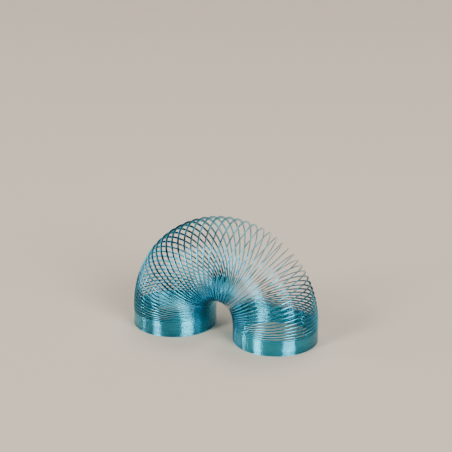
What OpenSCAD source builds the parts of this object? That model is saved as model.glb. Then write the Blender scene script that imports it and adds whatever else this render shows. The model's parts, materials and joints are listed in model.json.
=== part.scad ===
// Walking coil spring: one long flat wire wound into a right-handed coil,
// standing bent over on its two ends.
// Left foot, fanned arch and right foot are stretches of the same wire.
// Each stretch is cut where the wire passes the inside of the bend, because
// that is where two turns touch and tilt against each other.
// Origin: centre of the footprint, on the floor. +X runs from the left foot
// to the right foot, +Z is up. Millimetres.

/* [Wire] */
// Outside diameter of the coil
coil_d = 68; // [56:1:82]
// Width of the flat wire, measured across the ring
wire_w = 2; // [1.6:0.1:2.6]
// Thickness of the flat wire
wire_t = 0.66; // [0.5:0.01:0.8]
// Air between two closed turns
turn_air = 0.09; // [0.06:0.01:0.15]

/* [Turns] */
// Whole closed turns in the left foot, below its last part turn
left_foot_turns = 16; // [8:1:24]
// Turns fanned out over the arch
arch_turns = 48; // [40:1:56]

/* [Arch] */
// Fan angle at the feet as a share of the fan angle at the crown
foot_fan = 0.244; // [0.15:0.001:0.5]
// How strongly the fan gathers at the crown
crown_focus = 1.37; // [1:0.01:1.8]
// Place of the crown along the arch, 1 is the middle
crown_place = 0.935; // [0.9:0.005:1.1]
// Extra pitch where the crown is widest open, as a share of the closed pitch
crown_stretch = 0.26; // [0.1:0.01:0.4]

/* [Hidden] */
// Straight segments in one turn, a multiple of four
turn_segments = 28;
// The turn on the floor is flat for this share of its length, then steps up
flat_share = 0.8;
// Turns over which the stack eases from the flat turn to an even helix
ease_turns = 3;
// Part turns that bring both cut ends of the wire to the back of the coil
left_part_turn = 0.75;
right_part_turn = 0.25;
lacquer_teal = [0.16, 0.52, 0.62];
lacquer_deep = [0.10, 0.44, 0.58];

closed_pitch = wire_t + turn_air;
ring_r = coil_d / 2 - wire_w / 2;
arch_steps = arch_turns * turn_segments;

// Fan opening along the arch, q = 0 at the left foot and 1 at the right foot
function fan(q) =
    foot_fan + (1 - foot_fan) * pow(sin(180 * pow(q, crown_place)), crown_focus);
// Running sum of a list by the trapezoid rule
function running(list) =
    [for (j = 0, sum = 0; j < len(list);
          sum = sum + (list[j] + list[min(j + 1, len(list) - 1)]) / 2, j = j + 1) sum];

fan_list = [for (j = [0:arch_steps]) fan(j / arch_steps)];
fan_sum = running(fan_list);
// Direction from the inside of the bend to the ring's centre, 180 to 0 degrees
lean = [for (sum = fan_sum) 180 * (1 - sum / fan_sum[arch_steps])];
step = [for (f = fan_list) closed_pitch * (1 + crown_stretch * f) / turn_segments];
// The inner line of the arch: where each turn meets the next one
inner_x = running([for (j = [0:arch_steps]) step[j] * sin(lean[j])]);
inner_z = running([for (j = [0:arch_steps]) -step[j] * cos(lean[j])]);
foot_gap = inner_x[arch_steps];

left_turns = left_foot_turns + left_part_turn;
left_top = wire_t / 2 + left_turns * closed_pitch;
right_top = left_top + inner_z[arch_steps];
right_height = right_top - wire_t / 2;
right_turns = floor(right_height / closed_pitch - right_part_turn) + right_part_turn;
right_pitch = right_height / right_turns;

// Height of a foot's wire, in pitches, m turns above its cut end
function eased(x, flat) = flat * max(0, (x - flat_share) / (1 - flat_share)) + (1 - flat) * x;
function stack_rise(m) =
    let (whole = floor(m)) whole + eased(m - whole, max(0, 1 - whole / ease_turns));

// Everything about the wire at s turns from the foot of the arch:
// [x of inner line, z of inner line, lean]
function left_at(s) =
    [-foot_gap / 2, wire_t / 2 + closed_pitch * stack_rise(left_turns + s), 180];
function right_at(s) =
    [foot_gap / 2, wire_t / 2 + right_pitch * stack_rise(right_turns + arch_turns - s), 0];
function arch_at(j) = [inner_x[j] - foot_gap / 2, left_top + inner_z[j], lean[j]];
function wire_at(s) =
    s <= 0 ? left_at(s) : s >= arch_turns ? right_at(s) : arch_at(round(s * turn_segments));

// The four corners of the wire, s turns from the foot of the arch
function corners(s) =
    let (at = wire_at(s),
         out = [cos(at[2]), 0, sin(at[2])],
         along = [sin(at[2]), 0, -cos(at[2])],
         centre = [at[0], 0, at[1]] + ring_r * out,
         radial = [0, sin(360 * s), 0] - cos(360 * s) * out)
    [for (c = [[1, 1], [1, -1], [-1, -1], [-1, 1]])
        centre + (ring_r + c[0] * wire_w / 2) * radial + c[1] * wire_t / 2 * along];

// The wire from s = first to s = last
module wire(first, last) {
    count = round((last - first) * turn_segments);
    points = [for (j = [0:count]) each corners(first + j / turn_segments)];
    sides = [for (j = [0:count - 1], a = [0:3])
        let (b = (a + 1) % 4, p = 4 * j, q = 4 * j + 4)
        each [[p + a, q + a, q + b], [p + a, q + b, p + b]]];
    start = [[0, 1, 2], [0, 2, 3]];
    end = [for (f = start) [for (k = [2:-1:0]) f[k] + 4 * count]];
    polyhedron(points, concat(start, sides, end), convexity = 10);
}

function turn_name(i) = str("arch_turn_", i < 10 ? "0" : "", i);

module left_foot_coils() {
    color(lacquer_deep) wire(-left_turns, 0);
}

module arch_turn(i) {
    color(lacquer_teal) wire(i - 1, i);
}

module right_foot_coils() {
    color(lacquer_deep) wire(arch_turns, arch_turns + right_turns);
}

left_foot_coils();
for (i = [1:arch_turns]) {
    arch_turn(i);
}
right_foot_coils();
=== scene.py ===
import json
from math import cos, pi, radians, sin

import bpy
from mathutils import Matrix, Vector


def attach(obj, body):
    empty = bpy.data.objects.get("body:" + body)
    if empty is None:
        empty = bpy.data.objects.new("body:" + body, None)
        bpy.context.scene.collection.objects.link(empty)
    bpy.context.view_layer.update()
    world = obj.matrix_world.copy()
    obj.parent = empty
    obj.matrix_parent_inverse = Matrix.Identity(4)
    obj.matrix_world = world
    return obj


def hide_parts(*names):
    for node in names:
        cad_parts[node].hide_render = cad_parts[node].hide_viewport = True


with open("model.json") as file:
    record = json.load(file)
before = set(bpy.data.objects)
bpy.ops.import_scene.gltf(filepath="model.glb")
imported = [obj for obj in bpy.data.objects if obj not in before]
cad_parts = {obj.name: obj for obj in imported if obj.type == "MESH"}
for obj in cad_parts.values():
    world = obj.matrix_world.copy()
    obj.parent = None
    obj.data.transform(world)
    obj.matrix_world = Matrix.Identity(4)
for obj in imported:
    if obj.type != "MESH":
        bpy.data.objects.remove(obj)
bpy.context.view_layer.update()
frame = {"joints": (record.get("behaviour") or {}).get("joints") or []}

# small helpers for building node trees

nodeSpacing = {"across": 200, "down": 170}


def inputOf(node, name):
    # the first enabled socket of that name, because some nodes repeat a name per data type
    return next(s for s in node.inputs if s.name == name and s.enabled)


def outputOf(node, name):
    return next(s for s in node.outputs if s.name == name and s.enabled)


def addNode(tree, kind, place, **settings):
    node = tree.nodes.new(kind)
    node.location = (place[0] * nodeSpacing["across"], place[1] * -nodeSpacing["down"])
    for name, value in settings.items():
        setattr(node, name, value)
    return node


def mathNode(tree, operation, place, *values):
    node = addNode(tree, "ShaderNodeMath", place, operation=operation)
    for socket, value in zip(node.inputs, values):
        plug(tree, value, socket)
    return node.outputs[0]


def vectorNode(tree, operation, place, *values):
    node = addNode(tree, "ShaderNodeVectorMath", place, operation=operation)
    sockets = [s for s in node.inputs if s.enabled]
    for socket, value in zip(sockets, values):
        plug(tree, value, socket)
    return node.outputs[0]


def plug(tree, value, socket):
    # links another node's output, or sets a plain value
    if isinstance(value, bpy.types.NodeSocket):
        tree.links.new(value, socket)
    else:
        socket.default_value = value


# the wire's path, in metres

wire = {
    "outerRadius": 0.034,
    "width": 0.002,          # across the ring
    "thickness": 0.00066,    # along the coil
    "air": 0.00009,          # between two closed turns
    "edgeRadius": 0.00027,   # the rolled wire's edges are almost half round
    "edgeSteps": 3,
    "segments": 168,         # straight pieces in one turn
    "cutFaceFrom": 0.5,      # a face that looks this much along the wire is a cut end
}
stack = {
    "leftTurns": 16.75,
    "rightPartTurn": 0.25,
    "flatShare": 0.8,        # the turn on the floor lies flat, then steps up
    "easeTurns": 3,
}
arch = {
    "turns": 48,
    "footFan": 0.244,        # fan angle at the feet, as a share of the crown's
    "crownFocus": 1.37,      # higher gathers the opening nearer the crown
    "crownPlace": 0.935,     # below 1 moves the widest gap towards the left foot
    "crownStretch": 0.26,    # extra pitch at the crown
}
closedPitch = wire["thickness"] + wire["air"]
ringRadius = wire["outerRadius"] - wire["width"] / 2
perTurn = wire["segments"]
archSteps = arch["turns"] * perTurn


def fanShare(along):
    # how far the turns are fanned open, along from 0 at the left foot to 1 at the right
    rise = max(0.0, sin(pi * along ** arch["crownPlace"])) ** arch["crownFocus"]
    return arch["footFan"] + (1 - arch["footFan"]) * rise


def runningSum(values):
    sums = [0.0]
    for before, after in zip(values, values[1:]):
        sums.append(sums[-1] + (before + after) / 2)
    return sums


def archLine():
    # the inner line of the arch, and the lean of each ring away from it
    opening = [fanShare(step / archSteps) for step in range(archSteps + 1)]
    opened = runningSum(opening)
    lean = [pi * (1 - part / opened[-1]) for part in opened]
    pace = [closedPitch * (1 + arch["crownStretch"] * share) / perTurn for share in opening]
    x = runningSum([p * sin(a) for p, a in zip(pace, lean)])
    z = runningSum([-p * cos(a) for p, a in zip(pace, lean)])
    return x, z, lean


lineX, lineZ, leanAt = archLine()
footGap = lineX[-1]
leftTop = wire["thickness"] / 2 + stack["leftTurns"] * closedPitch
rightHeight = leftTop + lineZ[-1] - wire["thickness"] / 2
rightTurns = int(rightHeight / closedPitch - stack["rightPartTurn"]) + stack["rightPartTurn"]
rightPitch = rightHeight / rightTurns


def stackRise(turnsUp):
    # height in pitches, that many turns above a foot's cut end
    whole = int(turnsUp)
    part = turnsUp - whole
    flat = max(0.0, 1 - whole / stack["easeTurns"])
    step = max(0.0, (part - stack["flatShare"]) / (1 - stack["flatShare"]))
    return whole + flat * step + (1 - flat) * part


def wireAt(step):
    # inner line x and z, and lean, counted in segments from the arch's left end
    if step <= 0:
        height = closedPitch * stackRise(stack["leftTurns"] + step / perTurn)
        return -footGap / 2, wire["thickness"] / 2 + height, pi
    if step >= archSteps:
        height = rightPitch * stackRise(rightTurns - (step - archSteps) / perTurn)
        return footGap / 2, wire["thickness"] / 2 + height, 0.0
    return lineX[step] - footGap / 2, leftTop + lineZ[step], leanAt[step]


def missedBy(turn, hinge):
    x, z, _ = wireAt(turn * perTurn)
    return (Vector((x, 0, z)) - Vector(hinge["pos_m"])).length


hingeOf = {joint["child"]: joint for joint in frame["joints"]}
hinges = [hingeOf[f"turn_{i + 1:02d}"] for i in range(arch["turns"])] + [hingeOf["right_foot"]]
missed = max(missedBy(turn, hinge) for turn, hinge in enumerate(hinges))
print(f"path wound: {stack['leftTurns'] + arch['turns'] + rightTurns} turns,"
      f" it misses the hinges by {missed * 1e6:.1f} micrometres at most")

# lacquer

lacquer = {
    "deep": (0.014, 0.31, 0.48, 1),
    "light": (0.05, 0.68, 0.88, 1),
    "steel": (0.50, 0.56, 0.57, 1),
    "roughness": (0.13, 0.21),    # in the smooth and in the rough streaks
    "coat": 0.8,
    "coatIor": 1.6,
    "coatRoughness": 0.09,
    "streakLength": 0.030,        # rolling marks run along the wire
    "streakWidth": 0.00022,
    "patchSize": 0.035,           # slow changes of the lacquer's depth
    "depthSpan": (0.75, 1.25),    # streaks plus patches, from deep to light
    "streakSpan": (0.3, 0.7),     # streaks, from smooth to rough
    "edgeSpan": (0.40, 0.5),      # shares of the wire's width where its edge begins and ends
    "fleckScale": 900.0,          # flecks in a metre
    "wearSpan": (0.70, 0.78),     # flecks, from lacquered to bare steel
    "bumpStrength": 0.06,
    "bumpDistance": 0.00002,
}


def mixColour(tree, place, factor, first, second):
    node = addNode(tree, "ShaderNodeMix", place, data_type="RGBA")
    plug(tree, factor, inputOf(node, "Factor"))
    plug(tree, first, inputOf(node, "A"))
    plug(tree, second, inputOf(node, "B"))
    return outputOf(node, "Result")


def mapRange(tree, place, value, low, high, newLow=0.0, newHigh=1.0):
    node = addNode(tree, "ShaderNodeMapRange", place, interpolation_type="SMOOTHSTEP")
    plug(tree, value, node.inputs["Value"])
    node.inputs["From Min"].default_value = low
    node.inputs["From Max"].default_value = high
    node.inputs["To Min"].default_value = newLow
    node.inputs["To Max"].default_value = newHigh
    return node.outputs["Result"]


def noise(tree, place, vector, scale, detail):
    node = addNode(tree, "ShaderNodeTexNoise", place)
    plug(tree, vector, node.inputs["Vector"])
    node.inputs["Scale"].default_value = scale
    node.inputs["Detail"].default_value = detail
    return node.outputs["Fac"]


def tealLacquer():
    material = bpy.data.materials.new("tealLacquer")
    material.use_nodes = True
    tree = material.node_tree
    tree.nodes.clear()
    out = addNode(tree, "ShaderNodeOutputMaterial", (9, 0))
    shader = addNode(tree, "ShaderNodeBsdfPrincipled", (7, 0))
    tree.links.new(shader.outputs[0], out.inputs["Surface"])
    drawn = addNode(tree, "ShaderNodeAttribute", (0, 1), attribute_name="alongWire")
    run = drawn.outputs["Vector"]
    fine = 1 / lacquer["streakWidth"]
    streaks = vectorNode(tree, "MULTIPLY", (1, 0), run, (1 / lacquer["streakLength"], fine, fine))
    drawing = noise(tree, (2, 0), streaks, scale=1.0, detail=3.0)
    place = addNode(tree, "ShaderNodeTexCoord", (0, 3))
    patchScale = 1 / lacquer["patchSize"]
    patches = noise(tree, (2, 2), place.outputs["Object"], scale=patchScale, detail=3.0)
    shade = mathNode(tree, "ADD", (3, 2), drawing, patches)
    depth = mapRange(tree, (3, 1), shade, *lacquer["depthSpan"])
    colour = mixColour(tree, (4, 0), depth, lacquer["deep"], lacquer["light"])
    # the lacquer thins on the rounded edges and lets the steel show in short flecks
    split = addNode(tree, "ShaderNodeSeparateXYZ", (1, 4))
    tree.links.new(run, split.inputs[0])
    across = mathNode(tree, "ABSOLUTE", (2, 4), split.outputs["Y"])
    edge = [wire["width"] * share for share in lacquer["edgeSpan"]]
    onEdge = mapRange(tree, (3, 4), across, *edge)
    flecks = noise(tree, (2, 5), run, scale=lacquer["fleckScale"], detail=4.0)
    bare = mapRange(tree, (4, 5), flecks, *lacquer["wearSpan"])
    worn = mathNode(tree, "MULTIPLY", (5, 4), onEdge, bare)
    colour = mixColour(tree, (6, 0), worn, colour, lacquer["steel"])
    plug(tree, colour, shader.inputs["Base Color"])
    rough = mapRange(tree, (5, 2), drawing, *lacquer["streakSpan"], *lacquer["roughness"])
    plug(tree, rough, shader.inputs["Roughness"])
    bump = addNode(tree, "ShaderNodeBump", (6, 3))
    bump.inputs["Strength"].default_value = lacquer["bumpStrength"]
    bump.inputs["Distance"].default_value = lacquer["bumpDistance"]
    plug(tree, drawing, bump.inputs["Height"])
    plug(tree, bump.outputs["Normal"], shader.inputs["Normal"])
    shader.inputs["Metallic"].default_value = 1.0
    shader.inputs["Coat Weight"].default_value = lacquer["coat"]
    shader.inputs["Coat Roughness"].default_value = lacquer["coatRoughness"]
    shader.inputs["Coat IOR"].default_value = lacquer["coatIor"]
    return material


lacquerMaterial = tealLacquer()
print("lacquer mixed")

# winding the wire


def windingTree():
    # draws the flat wire straight along X, then winds it round the leaning rings
    tree = bpy.data.node_groups.new("windFlatWire", "GeometryNodeTree")
    face = tree.interface
    face.new_socket("Geometry", in_out="INPUT", socket_type="NodeSocketGeometry")
    for name in ("Ring Radius", "Wire Width", "Wire Thickness", "Edge Radius"):
        face.new_socket(name, in_out="INPUT", socket_type="NodeSocketFloat")
    face.new_socket("Edge Steps", in_out="INPUT", socket_type="NodeSocketInt")
    face.new_socket("Lacquer", in_out="INPUT", socket_type="NodeSocketMaterial")
    face.new_socket("Geometry", in_out="OUTPUT", socket_type="NodeSocketGeometry")
    given = addNode(tree, "NodeGroupInput", (0, 0))
    link = tree.links.new

    # the straight wire: a rectangle with rounded corners swept along the line
    line = addNode(tree, "GeometryNodeMeshToCurve", (1, 0))
    link(given.outputs["Geometry"], line.inputs["Mesh"])
    level = addNode(tree, "GeometryNodeSetCurveNormal", (2, 0), mode="Z_UP")
    link(line.outputs["Curve"], level.inputs["Curve"])
    section = addNode(tree, "GeometryNodeCurvePrimitiveQuadrilateral", (1, 2), mode="RECTANGLE")
    link(given.outputs["Wire Width"], section.inputs["Width"])
    link(given.outputs["Wire Thickness"], section.inputs["Height"])
    rounded = addNode(tree, "GeometryNodeFilletCurve", (2, 2), mode="POLY")
    link(section.outputs["Curve"], rounded.inputs["Curve"])
    link(given.outputs["Edge Radius"], rounded.inputs["Radius"])
    link(given.outputs["Edge Steps"], rounded.inputs["Count"])
    swept = addNode(tree, "GeometryNodeCurveToMesh", (3, 0))
    link(level.outputs["Curve"], swept.inputs["Curve"])
    link(rounded.outputs["Curve"], swept.inputs["Profile Curve"])
    swept.inputs["Fill Caps"].default_value = True
    position = addNode(tree, "GeometryNodeInputPosition", (3, 2))
    kept = addNode(tree, "GeometryNodeStoreNamedAttribute", (4, 0), data_type="FLOAT_VECTOR")
    kept.domain = "POINT"
    link(swept.outputs["Mesh"], kept.inputs["Geometry"])
    kept.inputs["Name"].default_value = "alongWire"
    plug(tree, position.outputs[0], inputOf(kept, "Value"))
    # the sides are smooth, the two cut faces stay flat
    normal = addNode(tree, "GeometryNodeInputNormal", (4, 3))
    facing = addNode(tree, "ShaderNodeSeparateXYZ", (5, 3))
    link(normal.outputs[0], facing.inputs[0])
    isSide = addNode(tree, "FunctionNodeCompare", (6, 3), data_type="FLOAT", operation="LESS_THAN")
    plug(tree, mathNode(tree, "ABSOLUTE", (5, 4), facing.outputs["X"]), inputOf(isSide, "A"))
    inputOf(isSide, "B").default_value = wire["cutFaceFrom"]
    flat = addNode(tree, "GeometryNodeSetShadeSmooth", (5, 0))
    flat.inputs["Shade Smooth"].default_value = False
    link(kept.outputs["Geometry"], flat.inputs["Geometry"])
    smooth = addNode(tree, "GeometryNodeSetShadeSmooth", (6, 0))
    link(flat.outputs["Geometry"], smooth.inputs["Geometry"])
    link(isSide.outputs[0], smooth.inputs["Selection"])

    # the winding: out points from the inner line to the ring's centre, radial from there to the wire
    def named(name, kind, place):
        node = addNode(tree, "GeometryNodeInputNamedAttribute", place, data_type=kind)
        node.inputs["Name"].default_value = name
        return outputOf(node, "Attribute")

    lean = named("lean", "FLOAT", (0, 5))
    turn = named("turn", "FLOAT", (0, 6))
    inner = named("innerLine", "FLOAT_VECTOR", (0, 7))
    angle = mathNode(tree, "MULTIPLY", (1, 6), turn, 2 * pi)
    cosLean = mathNode(tree, "COSINE", (1, 5), lean)
    sinLean = mathNode(tree, "SINE", (1, 4), lean)

    def combine(place, x, y, z):
        node = addNode(tree, "ShaderNodeCombineXYZ", place)
        for socket, value in zip(node.inputs, (x, y, z)):
            plug(tree, value, socket)
        return node.outputs[0]

    def scaled(place, vector, factor):
        node = addNode(tree, "ShaderNodeVectorMath", place, operation="SCALE")
        plug(tree, vector, node.inputs[0])
        plug(tree, factor, node.inputs["Scale"])
        return node.outputs[0]

    out = combine((2, 4), cosLean, 0.0, sinLean)
    along = combine((2, 5), sinLean, 0.0, mathNode(tree, "MULTIPLY", (2, 6), cosLean, -1.0))
    sideways = combine((3, 5), 0.0, mathNode(tree, "SINE", (2, 7), angle), 0.0)
    cosTurn = mathNode(tree, "COSINE", (2, 8), angle)
    radial = vectorNode(tree, "SUBTRACT", (4, 5), sideways, scaled((3, 6), out, cosTurn))
    straight = addNode(tree, "ShaderNodeSeparateXYZ", (4, 7))
    link(position.outputs[0], straight.inputs[0])
    reach = mathNode(tree, "ADD", (5, 6), given.outputs["Ring Radius"], straight.outputs["Y"])
    centre = vectorNode(tree, "ADD", (5, 5), inner, scaled((4, 4), out, given.outputs["Ring Radius"]))
    ring = vectorNode(tree, "ADD", (6, 5), centre, scaled((5, 7), radial, reach))
    wound = vectorNode(tree, "ADD", (7, 5), ring, scaled((6, 7), along, straight.outputs["Z"]))
    wind = addNode(tree, "GeometryNodeSetPosition", (7, 0))
    link(smooth.outputs["Geometry"], wind.inputs["Geometry"])
    link(wound, wind.inputs["Position"])
    outward = addNode(tree, "GeometryNodeFlipFaces", (8, 0))
    link(wind.outputs["Geometry"], outward.inputs["Mesh"])
    real = addNode(tree, "GeometryNodeRealizeInstances", (9, 0))
    link(outward.outputs["Mesh"], real.inputs["Geometry"])
    painted = addNode(tree, "GeometryNodeSetMaterial", (10, 0))
    link(real.outputs["Geometry"], painted.inputs["Geometry"])
    link(given.outputs["Lacquer"], painted.inputs["Material"])
    result = addNode(tree, "NodeGroupOutput", (11, 0))
    link(painted.outputs["Geometry"], result.inputs["Geometry"])
    return tree


winding = windingTree()
socketOf = {s.name: s.identifier for s in winding.interface.items_tree if s.in_out == "INPUT"}


def windStretch(name, first, last):
    # the wire between two segment counts, as one mesh
    steps = range(first, last + 1)
    length = 2 * pi * ringRadius / perTurn
    line = bpy.data.meshes.new(name + "Line")
    points = [(step * length, 0, 0) for step in steps]
    line.from_pydata(points, [(i, i + 1) for i in range(len(steps) - 1)], [])
    places = [wireAt(step) for step in steps]
    inner = line.attributes.new("innerLine", "FLOAT_VECTOR", "POINT")
    inner.data.foreach_set("vector", [v for x, z, _ in places for v in (x, 0.0, z)])
    lean = line.attributes.new("lean", "FLOAT", "POINT")
    lean.data.foreach_set("value", [tilt for _, _, tilt in places])
    turn = line.attributes.new("turn", "FLOAT", "POINT")
    turn.data.foreach_set("value", [(step % perTurn) / perTurn for step in steps])
    piece = bpy.data.objects.new(name, line)
    bpy.context.scene.collection.objects.link(piece)
    modifier = piece.modifiers.new("winding", "NODES")
    modifier.node_group = winding
    modifier[socketOf["Ring Radius"]] = ringRadius
    modifier[socketOf["Wire Width"]] = wire["width"]
    modifier[socketOf["Wire Thickness"]] = wire["thickness"]
    modifier[socketOf["Edge Radius"]] = wire["edgeRadius"]
    modifier[socketOf["Edge Steps"]] = wire["edgeSteps"]
    modifier[socketOf["Lacquer"]] = lacquerMaterial
    evaluated = piece.evaluated_get(bpy.context.evaluated_depsgraph_get())
    mesh = bpy.data.meshes.new_from_object(evaluated)
    piece.modifiers.remove(modifier)
    piece.data = mesh
    bpy.data.meshes.remove(line)
    return piece


def standFor(piece, body, node):
    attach(piece, body)
    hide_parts(node)


leftStart = -round(stack["leftTurns"] * perTurn)
rightEnd = archSteps + round(rightTurns * perTurn)
standFor(windStretch("leftFootWire", leftStart, 0), "left_foot", "left_foot_coils")
for i in range(1, arch["turns"] + 1):
    turnPiece = windStretch(f"archWire{i:02d}", (i - 1) * perTurn, i * perTurn)
    standFor(turnPiece, f"turn_{i:02d}", f"arch_turn_{i:02d}")
standFor(windStretch("rightFootWire", archSteps, rightEnd), "right_foot", "right_foot_coils")
print("wire wound")

# floor, lights and camera

studio = {
    "target": Vector((0, 0, 0.045)),
    "azimuth": radians(24.19),      # the camera stands this far round to the right
    "elevation": radians(21.30),
    "distance": 0.894,
    "lens": 89.3,
    "sensorWidth": 36,
    "shift": (0.0034, 0.1144),
    "farthest": 200,
    "floorRadius": 60.0,
    "floorSides": 64,
    "floorColour": (0.78, 0.65, 0.51, 1),
    "floorRoughness": 0.85,
    "world": (0.20, 0.21, 0.22, 1),
    "worldStrength": 0.22,
    "skylight": (172, 66, 40, 1.4),  # bearing, elevation, angle across, strength
}
# bearing from the camera's own (right is plus), elevation, distance, width, height, power
softboxes = {
    "keyRight": (35, 24, 9, 4.5, 5.9, 980),
    "fillLeft": (-51, 23, 9, 2.6, 6.2, 670),
    "thinLeft": (-94, 22, 9, 0.22, 6.7, 150),
    "behind": (160, 30, 9, 2.5, 2.8, 38),
}


def plainMaterial(name, colour, roughness):
    material = bpy.data.materials.new(name)
    material.use_nodes = True
    shader = material.node_tree.nodes["Principled BSDF"]
    shader.inputs["Base Color"].default_value = colour
    shader.inputs["Roughness"].default_value = roughness
    return material


def layFloor():
    mesh = bpy.data.meshes.new("studioFloor")
    sides = studio["floorSides"]
    reach = studio["floorRadius"]
    angles = [2 * pi * i / sides for i in range(sides)]
    corners = [(reach * cos(angle), reach * sin(angle), 0) for angle in angles]
    mesh.from_pydata(corners, [], [list(range(sides))])
    paper = plainMaterial("palePaper", studio["floorColour"], studio["floorRoughness"])
    mesh.materials.append(paper)
    floor = bpy.data.objects.new("studioFloor", mesh)
    bpy.context.scene.collection.objects.link(floor)


def aimAt(thing, place, target):
    thing.location = place
    thing.rotation_euler = (target - place).to_track_quat("-Z", "Y").to_euler()


def towards(bearing, elevation):
    # a direction from the object, measured from the camera's own bearing
    turned = studio["azimuth"] + bearing
    return Vector((sin(turned) * cos(elevation), -cos(turned) * cos(elevation), sin(elevation)))


def hangSoftbox(name, bearing, elevation, distance, width, height, power):
    light = bpy.data.lights.new(name, "AREA")
    light.shape = "RECTANGLE"
    light.size = width
    light.size_y = height
    light.energy = power
    lamp = bpy.data.objects.new(name, light)
    bpy.context.scene.collection.objects.link(lamp)
    place = studio["target"] + distance * towards(radians(bearing), radians(elevation))
    aimAt(lamp, place, studio["target"])
    lamp.visible_camera = False


def hangSkylight(bearing, elevation, across, strength):
    light = bpy.data.lights.new("skylight", "SUN")
    light.energy = strength
    light.angle = radians(across)
    lamp = bpy.data.objects.new("skylight", light)
    bpy.context.scene.collection.objects.link(lamp)
    place = studio["target"] + towards(radians(bearing), radians(elevation))
    aimAt(lamp, place, studio["target"])


def setCamera():
    data = bpy.data.cameras.new("studioCamera")
    data.lens = studio["lens"]
    data.sensor_width = studio["sensorWidth"]
    data.shift_x, data.shift_y = studio["shift"]
    data.clip_end = studio["farthest"]
    camera = bpy.data.objects.new("studioCamera", data)
    bpy.context.scene.collection.objects.link(camera)
    place = studio["target"] + studio["distance"] * towards(0, studio["elevation"])
    aimAt(camera, place, studio["target"])
    bpy.context.scene.camera = camera


def lightWorld():
    world = bpy.data.worlds.new("studioWorld")
    world.use_nodes = True
    background = world.node_tree.nodes["Background"]
    background.inputs["Color"].default_value = studio["world"]
    background.inputs["Strength"].default_value = studio["worldStrength"]
    bpy.context.scene.world = world


layFloor()
for name, setting in softboxes.items():
    hangSoftbox(name, *setting)
hangSkylight(*studio["skylight"])
setCamera()
lightWorld()
print("studio set")
